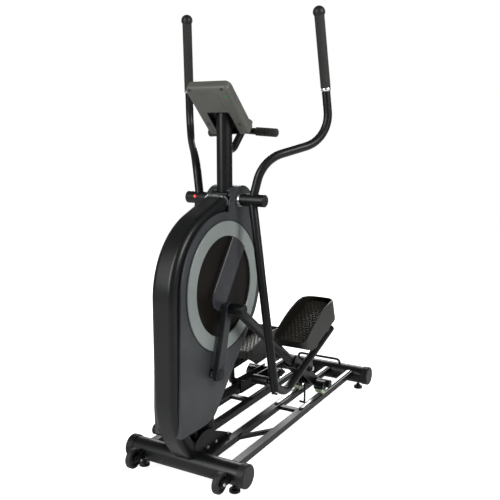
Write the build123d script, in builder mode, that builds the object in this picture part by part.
from build123d import *

import os
from math import acos, asin, atan2, cos, degrees, hypot, radians, sin, sqrt, tan

os.makedirs("parts", exist_ok=True)

# Front-drive elliptical trainer, in millimetres.
# +X is the rider's left, +Y points to the rear of the machine, +Z is up, the floor is Z 0.
# Lengths along the machine are given as distances behind the front stabilizer's axis.

# ---------------------------------------------------------------- driving dimensions
wheelbase = 1152.0            # front stabilizer axis to rear stabilizer axis
stabilizer_r = 40.0
stabilizer_wall = 2.5
stabilizer_z = 68.0
front_half_len = 225.0
rear_half_len = 238.0
cap_len = 30.0
cap_r = 42.5
cap_spigot = 20.0

spine_width = 94.0
spine_depth = 60.0
spine_corner_r = 22.0
spine_wall = 2.5
spine_reach = 137.0           # front face of the spine ahead of the front stabilizer
spine_top_slope = 20.0        # degrees above level
spine_foot_slope = 43.0       # degrees below level
spine_top_corner_z = 865.0
spine_foot_corner_z = 200.0
spine_top_bend_r = 265.0
spine_foot_bend_r = 300.0

rail_width = 30.0
rail_height = 25.0
rail_wall = 2.0
rail_z = 67.0                 # underside
inner_rail_x = 64.0
outer_rail_x = 179.0
track_width = 12.0
track_thick = 4.4
track_start = 577.0
track_end = 1106.0

crank_y = 79.0
crank_z = 381.0
crank_throw = 241.0
crank_lead = 15.9             # degrees, left crank past top dead centre
crank_gap = 18.0              # shield side to crank arm
crank_thick = 20.0
crank_hub_r = 24.0
crank_eye_r = 19.0
crank_axle_r = 12.5

roller_arm_len = 812.0        # crank pin to carriage tube
roller_arm_x = 121.5
roller_arm_r = 19.0
roller_arm_wall = 2.5
roller_r = 26.0
roller_width = 34.0
roller_axle_r = 8.0
pedal_pivot_from_carriage = 200.0
carriage_back = 28.0          # carriage tube behind the rollers' axle
carriage_rise = 10.0          # and above it

pivot_y = 272.5
pivot_z = 991.0
pivot_axle_r = 10.0
pivot_axle_half = 160.0
swing_len = 659.0             # upper pivot to lower pivot
swing_top_x = 114.8
swing_foot_x = 235.0
swing_tube_r = 16.0
swing_hub_r = 23.0
swing_wall = 2.0

link_sleeve_r = 17.0
link_len = 427.7              # lower swing pivot to pedal pivot, along the pedal arm
pedal_arm_x = 195.0
pedal_arm_r = 16.0
pedal_arm_slope = 29.7        # degrees between the pedal bar and the line of its two pivots
pedal_arm_dip = 19.8          # degrees below that line, of the bar's front run
pedal_arm_front = 201.1       # lower swing pivot to the bar's bend
pedal_arm_rear = 468.0        # bend to rear end
pedal_arm_bend_r = 95.0
pedal_start = 184.0           # along the bar from its bend
pedal_len = 350.0
pedal_inner_x = 62.0
pedal_outer_x = 212.0
pedal_floor = 84.0            # underside of the foot plate above the bar's axis
pedal_floor_thick = 10.0
pedal_wall = 6.0

ring_y = 168.0
ring_z = 685.0
shield_r = 270.0
shield_half = 56.0
shield_wall = 4.0
window_r = 184.0
ring_outer_r = 238.0
ring_thick = 5.0

mast_y = 266.0
mast_r = 29.0
mast_top_z = 1330.0
console_width = 178.0
console_len = 236.0
console_thick = 34.0
console_tilt = 43.7           # degrees from level, display facing up and to the rear
console_y = 220.0             # middle of the back face
console_z = 1305.5

bar_y = 398.0
bar_z = 1233.0
bar_half = 150.0
bar_rise = 9.0                # middle of the fixed handlebar above its ends

# ---------------------------------------------------------------- fits and clearances
running_fit = 0.05            # radial, shaft in its bore
rolling_gap = 0.35            # between pieces that move past each other
side_gap = 1.0                # between faces that turn against each other
link_gap = 2.0                # pedal arm's sleeve to the swing arm's tube

# ---------------------------------------------------------------- derived positions
overall_front = -spine_reach
overall_rear = wheelbase + cap_r
y_front = -(overall_front + overall_rear) / 2
rail_top_z = rail_z + rail_height
crank_inner_x = shield_half + crank_gap
track_z = rail_top_z + track_thick
roller_axle_z = track_z + rolling_gap + roller_r
carriage_z = roller_axle_z + carriage_rise
crank_outer_x = crank_inner_x + crank_thick
crank_boss_x = crank_outer_x + 4.5
sleeve_inner_x = crank_boss_x + side_gap
swing_splay = atan2(swing_foot_x - swing_top_x, swing_len)
link_pin_x = swing_foot_x - swing_tube_r / cos(swing_splay) - link_sleeve_r * tan(swing_splay) - link_gap


def at(distance):
    """Y of a point that lies this far behind the front stabilizer's axis."""
    return y_front + distance


def side_pose(crank_angle):
    """Closed pose of one side's linkage for a crank angle in degrees past top dead centre."""
    pin = (crank_y + crank_throw * sin(radians(crank_angle)),
           crank_z + crank_throw * cos(radians(crank_angle)))
    slope = asin((pin[1] - carriage_z) / roller_arm_len)
    carriage = (pin[0] + roller_arm_len * cos(slope), carriage_z)
    pedal_pivot = (carriage[0] - pedal_pivot_from_carriage * cos(slope),
                   carriage[1] + pedal_pivot_from_carriage * sin(slope))
    reach_y = pedal_pivot[0] - pivot_y
    reach_z = pivot_z - pedal_pivot[1]
    reach = hypot(reach_y, reach_z)
    opening = acos((swing_len ** 2 + reach ** 2 - link_len ** 2) / (2 * swing_len * reach))
    swing = atan2(reach_y, reach_z) - opening
    foot = (pivot_y + swing_len * sin(swing), pivot_z - swing_len * cos(swing))
    pitch = atan2(pedal_pivot[1] - foot[1], pedal_pivot[0] - foot[0])
    return {"pin": pin, "slope": degrees(slope), "carriage": carriage,
            "roller": (carriage[0] - carriage_back, roller_axle_z), "pedal_pivot": pedal_pivot,
            "swing": degrees(swing), "foot": foot, "pitch": degrees(pitch)}


left_pose = side_pose(crank_lead)
right_pose = side_pose(crank_lead + 180)
for side, pose in (("left", left_pose), ("right", right_pose)):
    for key in ("pin", "carriage", "roller", "pedal_pivot", "foot"):
        print(side, key, round(at(pose[key][0]), 3), round(pose[key][1], 3))
    print(side, "angles", round(pose["slope"], 4), round(pose["swing"], 4), round(pose["pitch"], 4))
print("y_front", y_front, "roller_axle_z", roller_axle_z, "carriage_z", carriage_z)


# ---------------------------------------------------------------- shared shapes
def rod_x(x_from, x_to, y, z, radius, mode=Mode.ADD):
    """A round bar along X, in the current part."""
    with Locations(Location(((x_from + x_to) / 2, y, z), (0, 90, 0))):
        Cylinder(radius, abs(x_to - x_from), mode=mode)


def block(x_span, y_span, z_span, mode=Mode.ADD):
    """A box from three (low, high) spans, in the current part."""
    spans = (x_span, y_span, z_span)
    with Locations([tuple((low + high) / 2 for low, high in spans)]):
        Box(*(high - low for low, high in spans), mode=mode)


def bent_tube(points, bend_radii, outer_r, wall):
    """A round tube along straight runs joined by arcs. A wall of 0 makes it solid."""
    with BuildPart() as tube:
        with BuildLine() as path:
            if len(points) > 2:
                FilletPolyline(*points, radius=bend_radii)
            else:
                Line(*points)
        with BuildSketch(Plane(origin=path.line @ 0, z_dir=path.line % 0)):
            Circle(outer_r)
            if wall:
                Circle(outer_r - wall, mode=Mode.SUBTRACT)
        sweep(path=path.line)
    return tube.part


def finish(piece, name):
    """Label a finished piece and write it."""
    piece.label = name
    export_step(piece, f"parts/{name}.step")


def both_sides(piece):
    """A piece and its mirror image across the machine's centre plane, as one group."""
    return Compound(children=[piece, mirror(piece, about=Plane.YZ)])


# ---------------------------------------------------------------- base: stabilizers and feet
def stabilizer(distance, half_len):
    """A closed-end round cross tube, hollow, lying across the machine."""
    with BuildPart() as tube:
        rod_x(-half_len, half_len, at(distance), stabilizer_z, stabilizer_r)
        rod_x(-half_len, half_len, at(distance), stabilizer_z, stabilizer_r - stabilizer_wall,
              Mode.SUBTRACT)
        for side in (-1, 1):
            with Locations((side * foot_x(distance), at(distance), stabilizer_z - stabilizer_r)):
                Cylinder(foot_stem_r + running_fit, 4 * stabilizer_wall, mode=Mode.SUBTRACT)
    return tube.part


foot_stem_r = 5.0
foot_pad_r = 20.0
foot_pad_h = 12.0
foot_inset = 27.0             # foot axis in from the tube's end
foot_stem_top = stabilizer_z - stabilizer_r + 18.0


def foot_x(distance):
    """How far out the levelling feet stand at the front or at the rear."""
    return (front_half_len if distance == 0 else rear_half_len) - foot_inset


front_stabilizer = stabilizer(0, front_half_len)
finish(front_stabilizer, "front_stabilizer")
rear_stabilizer = stabilizer(wheelbase, rear_half_len)
finish(rear_stabilizer, "rear_stabilizer")


def end_cap(distance, half_len):
    """A moulded cap on the left end of a stabilizer, with a spigot inside the tube."""
    y = at(distance)
    bore_r = stabilizer_r - stabilizer_wall
    with BuildPart() as cap:
        rod_x(half_len, half_len + cap_len, y, stabilizer_z, cap_r)
        fillet(cap.edges().group_by(Axis.X)[-1], 5)
        rod_x(half_len - cap_spigot, half_len, y, stabilizer_z, bore_r)
        rod_x(half_len - cap_spigot, half_len + cap_len - 4, y, stabilizer_z, bore_r - 4,
              Mode.SUBTRACT)
    return cap.part


caps = [end_cap(0, front_half_len), end_cap(wheelbase, rear_half_len)]
end_caps = Compound(children=caps + [mirror(cap, about=Plane.YZ) for cap in caps])
finish(end_caps, "end_caps")


def levelling_foot(x, distance):
    """A rubber-faced pad on a threaded stem."""
    y = at(distance)
    with BuildPart() as foot:
        with Locations((x, y, foot_pad_h / 2)):
            Cylinder(foot_pad_r, foot_pad_h)
        chamfer(foot.edges().group_by(Axis.Z)[-1], 3)
        with Locations((x, y, (foot_pad_h + foot_stem_top) / 2)):
            Cylinder(foot_stem_r, foot_stem_top - foot_pad_h)
        with Locations((x, y, foot_pad_h + 4)):
            Cylinder(foot_stem_r + 4, 8)
    return foot.part


for end, distance in (("front", 0.0), ("rear", wheelbase)):
    for side, sign in (("left", 1), ("right", -1)):
        foot = levelling_foot(sign * foot_x(distance), distance)
        finish(foot, f"{end}_{side}_foot")

# ---------------------------------------------------------------- base: transport wheels
wheel_x = 185.0
wheel_y = -79.0
wheel_z = 63.5
wheel_r = 37.0
wheel_width = 22.0
wheel_axle_r = 5.0
ear_thick = 4.0
ear_gap = 1.5

ear_inner = wheel_width / 2 + ear_gap
with BuildPart() as wheel_bracket:
    for side in (-1, 1):
        with BuildSketch(Plane.YZ.offset(wheel_x + side * (ear_inner + ear_thick / 2) - ear_thick / 2)):
            with BuildLine():
                Polyline((at(wheel_y) - 12, wheel_z - 12), (at(0), wheel_z - 16),
                         (at(0), wheel_z + 22), (at(wheel_y) - 12, wheel_z + 12), close=True)
            make_face()
        extrude(amount=ear_thick)
    rod_x(wheel_x - ear_inner - ear_thick - 3, wheel_x + ear_inner + ear_thick + 3,
          at(wheel_y), wheel_z, wheel_axle_r)
    rod_x(-front_half_len, front_half_len, at(0), stabilizer_z, stabilizer_r, Mode.SUBTRACT)
wheel_brackets = both_sides(wheel_bracket.part)
finish(wheel_brackets, "wheel_brackets")

with BuildPart() as left_transport_wheel:
    rod_x(wheel_x - wheel_width / 2, wheel_x + wheel_width / 2, at(wheel_y), wheel_z, wheel_r)
    fillet(left_transport_wheel.edges(), 5)
    for side in (-1, 1):
        face_x = wheel_x + side * wheel_width / 2
        with BuildSketch(Plane.YZ.offset(face_x)):
            with Locations((at(wheel_y), wheel_z)):
                Circle(wheel_r - 10)
                Circle(wheel_axle_r + 6, mode=Mode.SUBTRACT)
        extrude(amount=-side * 6, mode=Mode.SUBTRACT)
    rod_x(wheel_x - wheel_width, wheel_x + wheel_width, at(wheel_y), wheel_z,
          wheel_axle_r + running_fit, Mode.SUBTRACT)
finish(left_transport_wheel.part, "left_transport_wheel")
right_transport_wheel = mirror(left_transport_wheel.part, about=Plane.YZ)
finish(right_transport_wheel, "right_transport_wheel")

# ---------------------------------------------------------------- base: rails and tracks
rails = []
tracks = []
plugs = []
plug_len = 13.0
plug_height = 5.0
for rail_x in (-outer_rail_x, -inner_rail_x, inner_rail_x, outer_rail_x):
    x_span = (rail_x - rail_width / 2, rail_x + rail_width / 2)
    bore_x = (x_span[0] + rail_wall, x_span[1] - rail_wall)
    bore_z = (rail_z + rail_wall, rail_top_z - rail_wall)
    with BuildPart() as rail:
        block(x_span, (at(0), at(wheelbase)), (rail_z, rail_top_z))
        block(bore_x, (at(0), at(wheelbase)), bore_z, Mode.SUBTRACT)
        for distance, half in ((0, front_half_len), (wheelbase, rear_half_len)):
            rod_x(-half, half, at(distance), stabilizer_z, stabilizer_r, Mode.SUBTRACT)
    rails.append(rail.part)
    track_x = (rail_x - track_width / 2, rail_x + track_width / 2)
    with BuildPart() as track:
        block(track_x, (at(track_start), at(track_end)), (rail_top_z, track_z))
    tracks.append(track.part)
    with BuildPart() as plug:
        block(track_x, (at(track_start) - plug_len, at(track_start)),
              (rail_top_z, rail_top_z + plug_height))
        chamfer(plug.edges().group_by(Axis.Z)[-1].group_by(Axis.Y)[0], plug_height / 2)
    plugs.append(plug.part)
finish(Compound(children=rails), "rails")
finish(Compound(children=tracks), "tracks")
finish(Compound(children=plugs), "track_plugs")

cross_y = 580.0
cross_width = 24.0
cross_z = (rail_z + 4, rail_top_z - 6)
brace_start = 226.0
brace_end = 345.0
brace_width = 26.0
inner_gap = (inner_rail_x + rail_width / 2, outer_rail_x - rail_width / 2)
cross_members = []
for x_span in ((-inner_gap[1], -inner_gap[0]), inner_gap):
    with BuildPart() as cross:
        block(x_span, (at(cross_y) - cross_width / 2, at(cross_y) + cross_width / 2), cross_z)
    cross_members.append(cross.part)
for side in (-1, 1):
    with BuildPart() as brace:
        with BuildSketch(Plane.XY.offset(cross_z[0])):
            with BuildLine():
                Polyline((side * inner_gap[0], at(brace_start)), (side * inner_gap[1], at(brace_end)),
                         (side * inner_gap[1], at(brace_end) + brace_width),
                         (side * inner_gap[0], at(brace_start) + brace_width), close=True)
            make_face()
        extrude(amount=cross_z[1] - cross_z[0])
    cross_members.append(brace.part)
finish(Compound(children=cross_members), "cross_members")

lift_rod_r = 6.0
lift_half = 112.0
lift_rise = 18.0
lift_path = [(-lift_half, at(wheelbase), stabilizer_z + stabilizer_r - 4),
             (-lift_half, at(wheelbase), stabilizer_z + stabilizer_r + lift_rise),
             (lift_half, at(wheelbase), stabilizer_z + stabilizer_r + lift_rise),
             (lift_half, at(wheelbase), stabilizer_z + stabilizer_r - 4)]
lift_tube = bent_tube(lift_path, lift_rise, lift_rod_r, 0)
with BuildPart() as lift_handle:
    add(lift_tube)
    rod_x(-rear_half_len, rear_half_len, at(wheelbase), stabilizer_z, stabilizer_r, Mode.SUBTRACT)
finish(lift_handle.part, "lift_handle")

# ---------------------------------------------------------------- base: side plates and upright
plate_outer_x = inner_rail_x - rail_width / 2
plate_thick = 5.0
plate_rear = 252.0
plate_top_z = 172.0
upright_y = 120.0
upright_r = 32.0
upright_top_z = 232.0

with BuildPart() as base_plate:
    with BuildSketch(Plane.YZ.offset(plate_outer_x - plate_thick)):
        with BuildLine():
            Line((at(-22), stabilizer_z + 20), (at(-22), plate_top_z - 26))
            ThreePointArc((at(-22), plate_top_z - 26), (at(30), plate_top_z), (at(106), plate_top_z - 22))
            ThreePointArc((at(106), plate_top_z - 22), (at(196), plate_top_z - 62),
                          (at(plate_rear), rail_z + 14))
            Polyline((at(plate_rear), rail_z + 14), (at(plate_rear), rail_z), (at(0), rail_z),
                     (at(-22), stabilizer_z + 20))
        make_face()
    extrude(amount=plate_thick)
    rod_x(-front_half_len, front_half_len, at(0), stabilizer_z, stabilizer_r, Mode.SUBTRACT)

housing_r = 28.0
housing_half = 20.0
with BuildPart() as upright:
    with Locations((0, at(upright_y), (rail_z + upright_top_z) / 2)):
        Cylinder(upright_r, upright_top_z - rail_z)
        Cylinder(upright_r - 3, upright_top_z - rail_z, mode=Mode.SUBTRACT)
    collar_z = rail_top_z
    with Locations((0, at(upright_y), collar_z)):
        Cylinder(upright_r + 4, 8)
        Cylinder(upright_r - 3, 8, mode=Mode.SUBTRACT)
    foot_half_x = plate_outer_x - plate_thick
    block((-foot_half_x, foot_half_x), (at(upright_y) - 45, at(upright_y) + 45), (rail_z, rail_z + 10))
    with BuildSketch(Plane.YZ.offset(-housing_half + 4)):
        with BuildLine():
            Polyline((at(upright_y) - upright_r + 4, upright_top_z - 8),
                     (at(upright_y) + upright_r - 4, upright_top_z - 8),
                     (at(crank_y) + housing_r - 6, crank_z), (at(crank_y) - housing_r + 6, crank_z),
                     close=True)
        make_face()
    extrude(amount=2 * housing_half - 8)
    spine_back = -spine_reach + spine_depth
    block((-12, 12), (at(spine_back), at(crank_y)), (crank_z - 10, crank_z + 10))
    rod_x(-housing_half, housing_half, at(crank_y), crank_z, housing_r)
    rod_x(-housing_half, housing_half, at(crank_y), crank_z, crank_axle_r + running_fit, Mode.SUBTRACT)
finish(upright.part, "upright")

# ---------------------------------------------------------------- spine
spine_axis_y = -spine_reach + spine_depth / 2
spine_end_y = 215.0
spine_end_z = spine_top_corner_z + (spine_end_y - spine_axis_y) * tan(radians(spine_top_slope))
spine_foot_z = spine_foot_corner_z + spine_axis_y * tan(radians(spine_foot_slope))
spine_points = [(0, at(0), spine_foot_z), (0, at(spine_axis_y), spine_foot_corner_z),
                (0, at(spine_axis_y), spine_top_corner_z), (0, at(spine_end_y), spine_end_z)]
spine_bends = [spine_foot_bend_r, spine_top_bend_r]


def spine_sweep(width, depth, corner_r):
    """A solid bar of rounded rectangular section along the spine's path."""
    with BuildPart() as bar:
        with BuildLine() as path:
            FilletPolyline(*spine_points, radius=spine_bends)
        with BuildSketch(Plane(origin=path.line @ 0, z_dir=path.line % 0, x_dir=(1, 0, 0))):
            RectangleRounded(width, depth, corner_r)
        sweep(path=path.line)
    return bar.part


spine_outside = spine_sweep(spine_width, spine_depth, spine_corner_r)
spine_inside = spine_sweep(spine_width - 2 * spine_wall, spine_depth - 2 * spine_wall,
                           spine_corner_r - spine_wall)
with BuildPart() as spine:
    add(spine_outside)
    add(spine_inside, mode=Mode.SUBTRACT)
    rod_x(-front_half_len, front_half_len, at(0), stabilizer_z, stabilizer_r, Mode.SUBTRACT)
finish(spine.part, "spine")

with BuildPart() as fitted_base_plate:
    add(base_plate.part)
    add(spine_outside, mode=Mode.SUBTRACT)
finish(both_sides(fitted_base_plate.part), "base_plates")

trim_thick = 2.5
trim_len = 9.0
trim_plane = Plane(origin=(0, at(spine_end_y), spine_end_z), x_dir=(1, 0, 0),
                   z_dir=(0, cos(radians(spine_top_slope)), sin(radians(spine_top_slope))))
with BuildPart() as spine_trim:
    with BuildSketch(trim_plane.offset(-trim_len)):
        RectangleRounded(spine_width + 2 * trim_thick, spine_depth + 2 * trim_thick,
                         spine_corner_r + trim_thick)
        RectangleRounded(spine_width, spine_depth, spine_corner_r, mode=Mode.SUBTRACT)
    extrude(amount=trim_len)
finish(spine_trim.part, "spine_trim")

# ---------------------------------------------------------------- pivot bracket, axle and mast
bracket_half_x = 34.0
bracket_front = spine_end_y + 10.0
bracket_rear = 306.0
bracket_bottom_z = 940.0
bracket_top_z = 1020.0
bracket_boss_r = 22.0
hub_inner_x = shield_half + 16.0
with BuildPart() as pivot_bracket:
    block((-bracket_half_x, bracket_half_x), (at(bracket_front), at(bracket_rear)),
          (bracket_bottom_z, bracket_top_z))
    fillet(pivot_bracket.edges().filter_by(Axis.X), 8)
    rod_x(-hub_inner_x + side_gap, hub_inner_x - side_gap, at(pivot_y), pivot_z, bracket_boss_r)
    rod_x(-hub_inner_x, hub_inner_x, at(pivot_y), pivot_z, pivot_axle_r, Mode.SUBTRACT)
    block((-bracket_half_x + 6, bracket_half_x - 6), (at(spine_end_y) - 20, at(bracket_front)),
          (spine_end_z - 18, spine_end_z + 14))
    add(spine_outside, mode=Mode.SUBTRACT)
    add(spine_trim.part, mode=Mode.SUBTRACT)
finish(pivot_bracket.part, "pivot_bracket")

with BuildPart() as pivot_axle:
    rod_x(-pivot_axle_half, pivot_axle_half, at(pivot_y), pivot_z, pivot_axle_r)
finish(pivot_axle.part, "pivot_axle")

seat_depth = 18.0             # pocket in the console's back that takes the mast's top
display_dir = (0, sin(radians(console_tilt)), cos(radians(console_tilt)))
console_plane = Plane(origin=(0, at(console_y), console_z), x_dir=(1, 0, 0), z_dir=display_dir)
with BuildPart() as mast:
    with Locations((0, at(mast_y), (bracket_top_z + mast_top_z) / 2)):
        Cylinder(mast_r, mast_top_z - bracket_top_z)
        Cylinder(mast_r - 2.5, mast_top_z - bracket_top_z, mode=Mode.SUBTRACT)
    with BuildSketch(console_plane.offset(seat_depth)):
        Rectangle(console_width, console_len)
    extrude(amount=3 * console_thick, mode=Mode.SUBTRACT)
finish(mast.part, "mast")

# ---------------------------------------------------------------- shields, rings and struts
hump_y = 295.0
hump_z = 950.0
hump_r = 92.0
rear_edge_slope = 51.9        # degrees, lower rear edge
shield_bottom_z = 197.0
facet_y = 66.0
facet_z = 227.0
facet_slope = 43.5
facet_width = 80.0
facet_drop = 24.0
groove_width = 9.0
groove_depth = 2.0

tangent_angle = radians(rear_edge_slope - 90)
rear_tangent = (ring_y + shield_r * cos(tangent_angle), ring_z + shield_r * sin(tangent_angle))
rear_corner_y = rear_tangent[0] - (rear_tangent[1] - shield_bottom_z) / tan(radians(rear_edge_slope))
front_edge_y = ring_y - shield_r


def shield_solid(inset, half_width):
    """One side's outer form, shrunk by an inset, from the centre plane out to a half width."""
    facet_dir = (0, cos(radians(facet_slope)), sin(radians(facet_slope)))
    facet_plane = Plane(origin=(0, at(facet_y), facet_z), x_dir=(1, 0, 0), z_dir=facet_dir)
    away = -1 if facet_plane.y_dir.Z > 0 else 1
    with BuildPart() as form:
        with BuildSketch(Plane.YZ) as outline:
            with Locations((at(ring_y), ring_z)):
                Circle(shield_r)
            with BuildLine():
                Polyline((at(front_edge_y), ring_z), (at(front_edge_y - 14), 300),
                         (at(front_edge_y - 10), shield_bottom_z + 6),
                         (at(rear_corner_y), shield_bottom_z),
                         (at(rear_tangent[0]), rear_tangent[1]), (at(ring_y), ring_z), close=True)
            make_face()
            fillet(outline.vertices().group_by(Axis.Y)[0], 45)
            with Locations((at(hump_y), hump_z)):
                Circle(hump_r)
            with BuildLine():
                Polyline((at(hump_y) + hump_r, hump_z), (at(hump_y) - hump_r, hump_z),
                         (at(ring_y - 70), ring_z + shield_r - 12), (at(ring_y), ring_z),
                         (at(hump_y) + hump_r, ring_z + 160), close=True)
            make_face()
            if inset:
                offset(amount=-inset)
        extrude(amount=half_width)
        facet_edge = away * inset
        with BuildSketch(facet_plane.offset(-400)):
            with BuildLine():
                Polyline((half_width + 1, -facet_edge),
                         (half_width + 1, away * facet_width - facet_edge),
                         (half_width - facet_drop, away * facet_width - facet_edge),
                         (half_width, -facet_edge), close=True)
            make_face()
        extrude(amount=1200, mode=Mode.SUBTRACT)
    return form.part


shield_outside = shield_solid(0, shield_half)
shield_inside = shield_solid(shield_wall, shield_half - shield_wall)
spine_clearance = spine_sweep(spine_width + 1, spine_depth + 1, spine_corner_r)
with BuildPart() as left_shield:
    add(shield_outside)
    add(shield_inside, mode=Mode.SUBTRACT)
    add(spine_clearance, mode=Mode.SUBTRACT)
    rod_x(0, shield_half + 1, at(ring_y), ring_z, window_r, Mode.SUBTRACT)
    rod_x(0, shield_half + 1, at(crank_y), crank_z, crank_axle_r + 4, Mode.SUBTRACT)
    rod_x(0, shield_half + 1, at(pivot_y), pivot_z, bracket_boss_r + 0.5, Mode.SUBTRACT)
    block((-1, bracket_half_x + 3), (at(spine_end_y) - 60, at(spine_end_y) + 30),
          (spine_end_z - 50, spine_end_z + 90), Mode.SUBTRACT)
    block((-1, spine_width / 2 + trim_thick + 0.5), (at(spine_end_y) - 15, at(spine_end_y) + 12),
          (spine_end_z - 42, spine_end_z + 60), Mode.SUBTRACT)
    with Locations((0, at(mast_y), hump_z + hump_r)):
        Cylinder(mast_r + 1, 80, mode=Mode.SUBTRACT)
    with Locations((0, at(upright_y), shield_bottom_z)):
        Cylinder(upright_r + 1, 80, mode=Mode.SUBTRACT)
    with BuildSketch(Plane.YZ.offset(shield_half - groove_depth)):
        with Locations((at(ring_y), ring_z)):
            Circle(ring_outer_r + groove_width)
            Circle(ring_outer_r, mode=Mode.SUBTRACT)
    extrude(amount=groove_depth + 1, mode=Mode.SUBTRACT)
finish(left_shield.part, "left_shield")
right_shield = mirror(left_shield.part, about=Plane.YZ)
finish(right_shield, "right_shield")

with BuildPart() as ring:
    with BuildSketch(Plane.YZ.offset(shield_half)):
        with Locations((at(ring_y), ring_z)):
            Circle(ring_outer_r)
            Circle(window_r, mode=Mode.SUBTRACT)
    extrude(amount=ring_thick)
    chamfer(ring.edges().group_by(Axis.X)[-1], 1.5)
finish(both_sides(ring.part), "shield_rings")

disc_thick = 4.0
disc_rim = 6.0
disc_x = shield_half - shield_wall
with BuildPart() as window_disc:
    rod_x(disc_x - disc_thick, disc_x, at(ring_y), ring_z, window_r + disc_rim)
finish(both_sides(window_disc.part), "window_discs")

strut_angle = 54.0            # degrees above level, from its foot up to the ring
strut_width = 98.0
strut_thick = 12.0
strut_foot = (146.0, 672.0)
strut_turn = Plane(origin=(disc_x, at(strut_foot[0]), strut_foot[1]),
                   x_dir=(0, cos(radians(strut_angle)), sin(radians(strut_angle))), z_dir=(1, 0, 0))
with BuildPart() as strut:
    with BuildSketch(strut_turn):
        with Locations((150, 0)):
            Rectangle(300, strut_width)
        SlotCenterToCenter(strut_width * 0.5, strut_width, rotation=0)
    extrude(amount=strut_thick)
    chamfer(strut.edges().group_by(Axis.X)[-1], 3)
    with BuildSketch(Plane.YZ):
        with Locations((at(ring_y), ring_z)):
            Circle(window_r)
    extrude(amount=disc_x + strut_thick, mode=Mode.INTERSECT)
finish(both_sides(strut.part), "shield_struts")

# ---------------------------------------------------------------- crank
pulley_r = 130.0
pulley_x = (24.0, 37.0)
flywheel_pulley_r = 20.0
with BuildPart() as crank_axle:
    rod_x(-crank_outer_x, crank_outer_x, at(crank_y), crank_z, crank_axle_r)
finish(crank_axle.part, "crank_axle")

with BuildPart() as crank_pulley:
    rod_x(*pulley_x, at(crank_y), crank_z, pulley_r)
    rod_x(pulley_x[0] + 4, pulley_x[1], at(crank_y), crank_z, pulley_r - 10, Mode.SUBTRACT)
    rod_x(*pulley_x, at(crank_y), crank_z, crank_axle_r + 14)
    with Locations(Location((pulley_x[0], at(crank_y), crank_z), (0, 90, 0))):
        with PolarLocations(74, 6):
            Cylinder(22, 20, mode=Mode.SUBTRACT)
    rod_x(*pulley_x, at(crank_y), crank_z, crank_axle_r, Mode.SUBTRACT)
finish(crank_pulley.part, "crank_pulley")


def crank_arm(pose):
    """The left-hand crank arm, from the axle to the crank pin of a pose."""
    pin_y, pin_z = pose["pin"]
    with BuildPart() as arm:
        with BuildSketch(Plane.YZ.offset(crank_inner_x)) as profile:
            with Locations((at(crank_y), crank_z)):
                Circle(crank_hub_r)
            with Locations((at(pin_y), pin_z)):
                Circle(crank_eye_r)
            make_hull()
        extrude(amount=crank_thick)
        fillet(arm.edges().group_by(Axis.X)[-1], 4)
        rod_x(crank_outer_x, crank_boss_x, at(pin_y), pin_z, crank_eye_r - 4.5)
        rod_x(0, crank_outer_x, at(crank_y), crank_z, crank_axle_r, Mode.SUBTRACT)
    return arm.part


left_crank_arm = crank_arm(left_pose)
finish(left_crank_arm, "left_crank_arm")
right_crank_arm = mirror(crank_arm(right_pose), about=Plane.YZ)
finish(right_crank_arm, "right_crank_arm")

with BuildPart() as crank_cap:
    rod_x(crank_outer_x, crank_boss_x - 0.5, at(crank_y), crank_z, crank_hub_r - 4.5)
    fillet(crank_cap.edges().group_by(Axis.X)[-1], 2)
finish(both_sides(crank_cap.part), "crank_caps")

# ---------------------------------------------------------------- flywheel, belt and brake
flywheel_r = 168.0
flywheel_rim = 38.0
flywheel_half = 14.0
web_half = 4.0
flywheel_axle_r = 8.0
mount_left_x = (42.0, 46.0)
mount_right_x = (-24.0, -20.0)
with BuildPart() as flywheel:
    rod_x(-flywheel_half, flywheel_half, at(ring_y), ring_z, flywheel_r)
    rod_x(-flywheel_half, -web_half, at(ring_y), ring_z, flywheel_r - flywheel_rim, Mode.SUBTRACT)
    rod_x(web_half, flywheel_half, at(ring_y), ring_z, flywheel_r - flywheel_rim, Mode.SUBTRACT)
    rod_x(mount_right_x[1] + side_gap, mount_left_x[0] - side_gap, at(ring_y), ring_z,
          flywheel_pulley_r)
    rod_x(mount_right_x[1], mount_left_x[0], at(ring_y), ring_z, flywheel_axle_r + running_fit,
          Mode.SUBTRACT)
finish(flywheel.part, "flywheel")

brake_pin_y = -45.0
brake_pin_z = 645.0
brake_pin_r = 5.0
mount_height = 34.0
with BuildPart() as flywheel_mount:
    for x_span in (mount_left_x, mount_right_x):
        with BuildSketch(Plane.YZ.offset(x_span[0])):
            with BuildLine():
                Polyline((at(spine_axis_y), ring_z - 30), (at(brake_pin_y) - 12, brake_pin_z - 12),
                         (at(brake_pin_y) + 12, brake_pin_z - 12), (at(brake_pin_y + 40), ring_z - 17),
                         (at(ring_y), ring_z - mount_height / 2), (at(ring_y), ring_z + mount_height / 2),
                         (at(spine_axis_y), ring_z + mount_height / 2), close=True)
            make_face()
            with Locations((at(ring_y), ring_z)):
                Circle(mount_height / 2)
        extrude(amount=x_span[1] - x_span[0])
    add(spine_outside, mode=Mode.SUBTRACT)
    rod_x(mount_right_x[0], mount_left_x[1], at(ring_y), ring_z, flywheel_axle_r)
    rod_x(mount_right_x[0], mount_left_x[1], at(brake_pin_y), brake_pin_z, brake_pin_r)
finish(flywheel_mount.part, "flywheel_mount")

belt_thick = 2.5
belt_x = (26.0, 36.0)
with BuildPart() as drive_belt:
    for extra, mode in ((belt_thick, Mode.ADD), (0, Mode.SUBTRACT)):
        with BuildSketch(Plane.YZ.offset(belt_x[0])):
            with Locations((at(crank_y), crank_z)):
                Circle(pulley_r + rolling_gap + extra)
            with Locations((at(ring_y), ring_z)):
                Circle(flywheel_pulley_r + rolling_gap + extra)
            make_hull()
        extrude(amount=belt_x[1] - belt_x[0], mode=mode)
finish(drive_belt.part, "drive_belt")

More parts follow.
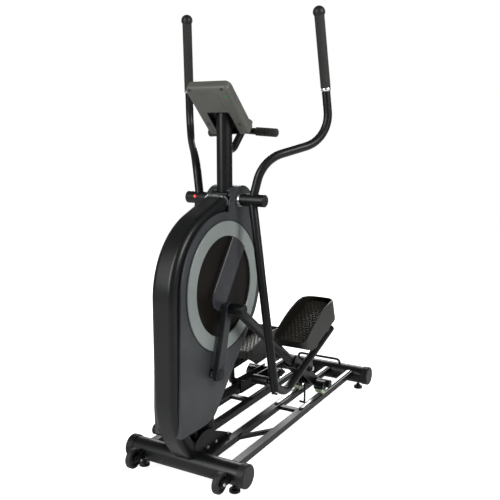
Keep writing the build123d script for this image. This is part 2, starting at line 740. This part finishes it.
brake_inner_r = 138.0
brake_outer_r = 184.0
brake_slot_r = 175.0
brake_slot_half = 18.5
brake_half = 26.0
brake_sector = (148.0, 172.0)  # degrees round the flywheel's axle, from the rear over the top
sector_reach = 1.5 * brake_outer_r
with BuildPart() as brake_magnet:
    with BuildSketch(Plane.YZ.offset(-brake_half)):
        with Locations((at(ring_y), ring_z)):
            Circle(brake_outer_r)
            Circle(brake_inner_r, mode=Mode.SUBTRACT)
        with BuildLine():
            Polyline((at(ring_y), ring_z),
                     *((at(ring_y) + sector_reach * cos(radians(turn)),
                        ring_z + sector_reach * sin(radians(turn))) for turn in brake_sector),
                     close=True)
        make_face(mode=Mode.INTERSECT)
    extrude(amount=2 * brake_half)
    rod_x(-brake_slot_half, brake_slot_half, at(ring_y), ring_z, brake_slot_r, Mode.SUBTRACT)
    with BuildSketch(Plane.YZ.offset(-10)):
        with BuildLine():
            Polyline((at(brake_pin_y) - 9, brake_pin_z), (at(brake_pin_y) + 9, brake_pin_z),
                     (at(ring_y) - brake_slot_r - 1, ring_z + 45),
                     (at(ring_y) - brake_slot_r - 14, ring_z + 45), close=True)
        make_face()
        with Locations((at(brake_pin_y), brake_pin_z)):
            Circle(10)
    extrude(amount=20)
    rod_x(-10, 10, at(brake_pin_y), brake_pin_z, brake_pin_r + running_fit, Mode.SUBTRACT)
finish(brake_magnet.part, "brake_magnet")


# ---------------------------------------------------------------- swing arms
bar_points = [(swing_top_x, 0, 0), (143.6, 11.2, 149.1), (313.0, 221.1, 237.5), (279.4, 139.7, 685.0)]
bar_bend_r = [131.5, 118.6]
grip_r = 18.5
grip_len = 258.0
knob_r = 22.5
swing_foot_over = 33.0        # lower tube beyond the lower pivot


def posed(piece, origin, angle, side):
    """Turn a left-hand piece about X at its own origin, move it there, and mirror it for the right."""
    placed = Location((0, at(origin[0]), origin[1]), (angle, 0, 0)) * piece
    return placed if side == "left" else mirror(placed, about=Plane.YZ)


def swing_arm():
    """Hub, lower tube and handlebar tube, from the upper pivot at the local origin."""
    over = swing_foot_over / swing_len
    foot_end = (swing_foot_x + (swing_foot_x - swing_top_x) * over, 0, -swing_len * (1 + over))
    lower = bent_tube([(swing_top_x, 0, 0), foot_end], 0, swing_tube_r, swing_wall)
    upper = bent_tube(bar_points, bar_bend_r, swing_tube_r, swing_wall)
    with BuildPart() as arm:
        rod_x(hub_inner_x, pivot_axle_half + 8, 0, 0, swing_hub_r)
        fillet(arm.edges().group_by(Axis.X)[-1], 3)
        add(lower)
        add(upper)
        rod_x(hub_inner_x, pivot_axle_half + 0.5, 0, 0, pivot_axle_r + running_fit, Mode.SUBTRACT)
        rod_x(link_pin_x, swing_foot_x + 10, 0, -swing_len, 9)
    return arm.part


top_point = Vector(*bar_points[3])
elbow_point = Vector(*bar_points[2])
grip_dir = (elbow_point - top_point).normalized()
grip_plane = Plane(origin=top_point, z_dir=grip_dir)


def hand_grip():
    """A foam sleeve on the top of the handlebar tube."""
    with BuildPart() as grip:
        with BuildSketch(grip_plane.offset(10)):
            Circle(grip_r)
            Circle(swing_tube_r, mode=Mode.SUBTRACT)
        extrude(amount=grip_len)
    return grip.part


def grip_knob():
    """A round end knob over the tube's top."""
    with BuildPart() as knob:
        with Locations(top_point):
            Sphere(knob_r)
        with BuildSketch(grip_plane):
            Circle(swing_tube_r)
        extrude(amount=knob_r, mode=Mode.SUBTRACT)
        with BuildSketch(grip_plane.offset(10)):
            Circle(knob_r + 1)
        extrude(amount=knob_r, mode=Mode.SUBTRACT)
    return knob.part


# ---------------------------------------------------------------- roller arms and rollers
arm_plate_thick = 5.0
arm_plate_half = roller_arm_r + 1.0
arm_plate_height = 46.0
arm_plate_front = 278.0
arm_plate_rear = 22.0
pedal_pin_r = 7.0
lug_x = (184.0, 196.0)
sleeve_outer_x = 155.0
sleeve_r = 20.0


def roller_arm():
    """Crank sleeve, round tube and rear side plates; the carriage tube is at the local origin."""
    tube = bent_tube([(roller_arm_x, -roller_arm_len, 0), (roller_arm_x, -arm_plate_front + 40, 0)],
                     0, roller_arm_r, roller_arm_wall)
    with BuildPart() as arm:
        rod_x(sleeve_inner_x, sleeve_outer_x, -roller_arm_len, 0, sleeve_r)
        fillet(arm.edges().group_by(Axis.X)[-1], 2.5)
        add(tube)
        for side in (-1, 1):
            plate_x = roller_arm_x + side * (arm_plate_half + arm_plate_thick / 2)
            block((plate_x - arm_plate_thick / 2, plate_x + arm_plate_thick / 2),
                  (-arm_plate_front, arm_plate_rear), (-arm_plate_height / 2, arm_plate_height / 2))
        block((roller_arm_x - arm_plate_half, roller_arm_x + arm_plate_half),
              (-arm_plate_front + 24, -arm_plate_front + 44),
              (-arm_plate_height / 2, arm_plate_height / 2))
        rod_x(roller_arm_x - arm_plate_half - arm_plate_thick, lug_x[0] - side_gap,
              -pedal_pivot_from_carriage, 0, pedal_pin_r + 5)
        rod_x(lug_x[0] - side_gap, lug_x[1] + 3, -pedal_pivot_from_carriage, 0, pedal_pin_r)
        rod_x(roller_arm_x - 40, roller_arm_x + 40, 0, 0, roller_axle_r + running_fit, Mode.SUBTRACT)
    return arm.part


axle_inner_x = inner_rail_x - roller_width / 2 - 6
axle_outer_x = 212.0
carriage_r = 18.0
hook_x = (86.0, 91.0)
hook_half = 5.0
hook_drop = 114.0
fender_thick = 2.5
fender_gap = 1.5


def roller_axle():
    """Carriage tube with the rollers' axle, their fenders and the hook that keeps them on the rail."""
    roller_half = roller_width / 2 + side_gap
    plate_gap = arm_plate_half + arm_plate_thick + side_gap / 2
    fender_r = roller_r + fender_gap
    with BuildPart() as axle:
        rod_x(axle_inner_x, axle_outer_x, 0, 0, roller_axle_r)
        rod_x(axle_inner_x, roller_arm_x - plate_gap, 0, 0, carriage_r)
        rod_x(roller_arm_x - arm_plate_half + side_gap / 2, roller_arm_x + arm_plate_half - side_gap / 2,
              0, 0, carriage_r)
        rod_x(roller_arm_x + plate_gap, axle_outer_x, 0, 0, carriage_r)
        for rail_x in (inner_rail_x, outer_rail_x):
            low, high = rail_x - roller_half, rail_x + roller_half
            with BuildSketch(Plane.YZ.offset(low - fender_thick)):
                with Locations((-carriage_back, -carriage_rise)):
                    Circle(fender_r + fender_thick)
                with Locations((-carriage_back, fender_r - carriage_rise)):
                    Rectangle(4 * fender_r, 2 * fender_r, mode=Mode.INTERSECT)
                with Locations((-carriage_back, -carriage_rise)):
                    Circle(roller_axle_r + 4)
            extrude(amount=high - low + 2 * fender_thick)
            rod_x(low, high, -carriage_back, -carriage_rise, fender_r, Mode.SUBTRACT)
            rod_x(low - fender_thick, high + fender_thick, -carriage_back, -carriage_rise, roller_axle_r)
        block(hook_x, (-hook_half, hook_half), (-hook_drop, 0))
        rod_x(inner_rail_x, hook_x[1], 0, hook_half - hook_drop, hook_half)
    return axle.part


def rollers():
    """The pair of rollers that run on the inner and outer tracks."""
    pair = []
    for rail_x in (inner_rail_x, outer_rail_x):
        span = (rail_x - roller_width / 2, rail_x + roller_width / 2)
        with BuildPart() as roller:
            rod_x(*span, 0, 0, roller_r)
            chamfer(roller.edges(), 2)
            rod_x(*span, 0, 0, roller_axle_r + running_fit, Mode.SUBTRACT)
        pair.append(roller.part)
    return Compound(children=pair)


# ---------------------------------------------------------------- pedal arms and pedals
bend_point = (pedal_arm_front * cos(radians(pedal_arm_dip)), -pedal_arm_front * sin(radians(pedal_arm_dip)))
bar_run = (cos(radians(pedal_arm_slope)), sin(radians(pedal_arm_slope)))
bar_end = (bend_point[0] + pedal_arm_rear * bar_run[0], bend_point[1] + pedal_arm_rear * bar_run[1])
pedal_plane = Plane(origin=(0, *bend_point), x_dir=(1, 0, 0), z_dir=(0, -bar_run[1], bar_run[0]))
bar_side = Plane(origin=(0, *bend_point), x_dir=(0, *bar_run), z_dir=(1, 0, 0))
lug_half = 16.0
sleeve_inner_end = 150.0
pedal_mid = ((pedal_inner_x + pedal_outer_x) / 2, pedal_start + pedal_len / 2)
pedal_toe_r = 28.0
pedal_heel_r = 58.0
pedal_skirt = 34.0            # lowest edge of the skirt above the bar's axis
pedal_top = 160.0             # above every edge of the rim
seat_plate = 6.0
seat_size = (112.0, 190.0)
post_size = (22.0, 34.0)


def pedal_arm():
    """Front sleeve, bent bar, pivot lug and pedal seat; the lower swing pivot is the local origin."""
    bar = bent_tube([(pedal_arm_x, 0, 0), (pedal_arm_x, *bend_point), (pedal_arm_x, *bar_end)],
                    pedal_arm_bend_r, pedal_arm_r, 2.5)
    foot_along = (link_len - bend_point[0]) * bar_run[0] - bend_point[1] * bar_run[1]
    root = (bend_point[0] + foot_along * bar_run[0], bend_point[1] + foot_along * bar_run[1])
    with BuildPart() as arm:
        add(bar)
        rod_x(sleeve_inner_end, link_pin_x - side_gap, 0, 0, link_sleeve_r)
        with BuildSketch(Plane.YZ.offset(lug_x[0])):
            with Locations((link_len, 0)):
                Circle(lug_half)
            with Locations((root[0], root[1])):
                Circle(lug_half - 2)
            make_hull()
        extrude(amount=lug_x[1] - lug_x[0])
        rod_x(lug_x[0], lug_x[1], link_len, 0, pedal_pin_r + running_fit, Mode.SUBTRACT)
        with BuildSketch(pedal_plane.offset(pedal_floor - seat_plate)):
            with Locations((pedal_mid[0] + 11, pedal_mid[1] - 6)):
                Rectangle(*seat_size)
        extrude(amount=seat_plate)
        for along in (pedal_mid[1] - seat_size[1] / 3, pedal_mid[1] + seat_size[1] / 3):
            with BuildSketch(pedal_plane.offset(pedal_arm_r / 2)):
                with Locations((pedal_arm_x - 2, along)):
                    Rectangle(*post_size)
            extrude(amount=pedal_floor - seat_plate - pedal_arm_r / 2)
    return arm.part


def pedal_plan(inset):
    """The foot plate's outline seen from above, shrunk by an inset; its heel is the rounder end."""
    with BuildSketch() as plan:
        with Locations(pedal_mid):
            Rectangle(pedal_outer_x - pedal_inner_x - 2 * inset, pedal_len - 2 * inset)
        fillet(plan.vertices().group_by(Axis.Y)[0], pedal_toe_r - inset)
        fillet(plan.vertices().group_by(Axis.Y)[-1], pedal_heel_r - inset)
    return plan.sketch


def pedal():
    """A deep foot plate: arched rim, closed floor, skirt round the seat plate below."""
    toe = pedal_start
    heel = pedal_start + pedal_len
    with BuildPart() as plate:
        with BuildSketch(bar_side.offset(pedal_inner_x)):
            with BuildLine():
                Spline((toe, 106), (toe + 86, 131), (toe + 180, 142), (toe + 282, 136), (heel, 114))
                Polyline((heel, 114), (heel, 66), (heel - 44, pedal_skirt), (toe + 62, pedal_skirt),
                         (toe + 22, 62), (toe, 80), (toe, 106))
            make_face()
        extrude(amount=pedal_outer_x - pedal_inner_x)
        with BuildSketch(pedal_plane):
            add(pedal_plan(0))
        extrude(amount=pedal_top, mode=Mode.INTERSECT)
        with BuildSketch(pedal_plane.offset(pedal_floor + pedal_floor_thick)):
            add(pedal_plan(pedal_wall))
        extrude(amount=pedal_top, mode=Mode.SUBTRACT)
        with BuildSketch(pedal_plane):
            add(pedal_plan(pedal_wall))
        extrude(amount=pedal_floor, mode=Mode.SUBTRACT)
    return plate.part


# ---------------------------------------------------------------- linkage pieces, both sides
arm_shape = swing_arm()
grip_shape = hand_grip()
knob_shape = grip_knob()
roller_arm_shape = roller_arm()
roller_axle_shape = roller_axle()
rollers_shape = rollers()
pedal_arm_shape = pedal_arm()
pedal_shape = pedal()
for side, pose in (("left", left_pose), ("right", right_pose)):
    pivot = (pivot_y, pivot_z)
    finish(posed(arm_shape, pivot, pose["swing"], side), f"{side}_swing_arm")
    finish(posed(grip_shape, pivot, pose["swing"], side), f"{side}_grip")
    finish(posed(knob_shape, pivot, pose["swing"], side), f"{side}_grip_knob")
    finish(posed(roller_arm_shape, pose["carriage"], -pose["slope"], side), f"{side}_roller_arm")
    finish(posed(roller_axle_shape, pose["carriage"], 0, side), f"{side}_roller_axle")
    finish(posed(rollers_shape, pose["roller"], 0, side), f"{side}_rollers")
    finish(posed(pedal_arm_shape, pose["foot"], pose["pitch"], side), f"{side}_pedal_arm")
    finish(posed(pedal_shape, pose["foot"], pose["pitch"], side), f"{side}_pedal")

# ---------------------------------------------------------------- console and fixed handlebar
console_wall = 3.0
console_split = 20.0
console_corner_r = 20.0
console_back_r = 14.0


def console_tub(inset):
    """The rear half's form, shrunk by an inset, with its back edges rounded over."""
    with BuildPart() as tub:
        with BuildSketch(console_plane.offset(inset)):
            RectangleRounded(console_width - 2 * inset, console_len - 2 * inset, console_corner_r - inset)
        extrude(amount=console_split - inset)
        fillet(tub.edges().group_by(Axis((0, 0, 0), display_dir))[0], console_back_r - inset)
    return tub.part


seat_width = 96.0
seat_len = 112.0
seat_wall = 3.0
seat_v = 55.0
seat_corner_r = 8.0


def seat_form(inset, depth):
    """A rounded block in the console's back, shrunk by an inset and of a given depth."""
    with BuildPart() as form:
        with BuildSketch(console_plane):
            with Locations((0, seat_v)):
                RectangleRounded(seat_width - 2 * inset, seat_len - 2 * inset, seat_corner_r - inset)
        extrude(amount=depth)
    return form.part


seat_outside = seat_form(0, seat_depth + seat_wall)
with BuildPart() as console_seat:
    add(seat_outside)
    add(seat_form(seat_wall, seat_depth), mode=Mode.SUBTRACT)
finish(console_seat.part, "console_seat")

with BuildPart() as console_back:
    add(console_tub(0))
    add(console_tub(console_wall), mode=Mode.SUBTRACT)
    add(seat_outside, mode=Mode.SUBTRACT)
finish(console_back.part, "console_back")

screen_width = 150.0
screen_len = 104.0
screen_v = -49.0
screen_depth = 4.0
ledge_len = 26.0              # book ledge along the lower edge
ledge_rise = 18.0
ledge_inset = 6.0
button_r = 9.0
button_v = 50.0
button_travel = 1.5
button_places = (("start_button", 28.0), ("stop_button", -28.0))
with BuildPart() as console_front:
    with BuildSketch(console_plane.offset(console_split)):
        RectangleRounded(console_width, console_len, console_corner_r)
    extrude(amount=console_thick - console_split)
    with BuildSketch(console_plane.offset(console_split)):
        RectangleRounded(console_width - 2 * console_wall, console_len - 2 * console_wall,
                         console_corner_r - console_wall)
    extrude(amount=console_thick - console_split - console_wall, mode=Mode.SUBTRACT)
    with BuildSketch(console_plane.offset(console_thick - screen_depth)):
        with Locations((0, screen_v)):
            Rectangle(screen_width, screen_len)
        for _, u in button_places:
            with Locations((u, button_v)):
                Circle(button_r + rolling_gap)
    extrude(amount=screen_depth, mode=Mode.SUBTRACT)
    with BuildSketch(console_plane.offset(console_thick)):
        with Locations((0, (console_len - ledge_len) / 2 - ledge_inset)):
            RectangleRounded(console_width - 2 * ledge_inset, ledge_len, ledge_len / 2 - 1)
    extrude(amount=ledge_rise)
finish(console_front.part, "console_front")

with BuildPart() as console_screen:
    with BuildSketch(console_plane.offset(console_thick - screen_depth)):
        with Locations((0, screen_v)):
            Rectangle(screen_width, screen_len)
    extrude(amount=screen_depth - 1)
finish(console_screen.part, "console_screen")

for name, u in button_places:
    with BuildPart() as button:
        with BuildSketch(console_plane.offset(console_thick - screen_depth - 2)):
            with Locations((u, button_v)):
                Circle(button_r)
        extrude(amount=screen_depth + 2 + 2 * button_travel)
        with BuildSketch(console_plane.offset(console_thick - screen_depth - 4)):
            with Locations((u, button_v)):
                Circle(button_r + 2)
        extrude(amount=2)
    finish(button.part, name)

stub_r = 14.0
lateral_r = 12.5
fixed_grip_r = 16.0
fixed_grip_start = 62.0
stub = bent_tube([(0, at(mast_y), bar_z - 64), (0, at(bar_y - 70), bar_z - 60),
                  (0, at(bar_y), bar_z + bar_rise)], [45.0], stub_r, 2.5)
grip_end_wall = 4.0


def bar_point(x):
    """A point on the fixed handlebar's axis, which falls evenly from the middle to its ends."""
    return (x, at(bar_y), bar_z + bar_rise * (1 - abs(x) / bar_half))


cross_bar = bent_tube([bar_point(grip_end_wall - bar_half), bar_point(0),
                       bar_point(bar_half - grip_end_wall)], [120.0], lateral_r, 0)
with BuildPart() as fixed_handlebar:
    add(stub)
    add(cross_bar)
    with Locations((0, at(mast_y), (bracket_top_z + mast_top_z) / 2)):
        Cylinder(mast_r, mast_top_z - bracket_top_z, mode=Mode.SUBTRACT)
finish(fixed_handlebar.part, "fixed_handlebar")

with BuildPart() as fixed_grip:
    add(bent_tube([bar_point(fixed_grip_start), bar_point(bar_half)], 0, fixed_grip_r, 0))
    fillet(fixed_grip.edges().group_by(Axis.X)[-1], 6)
    add(cross_bar, mode=Mode.SUBTRACT)
finish(both_sides(fixed_grip.part), "fixed_grips")
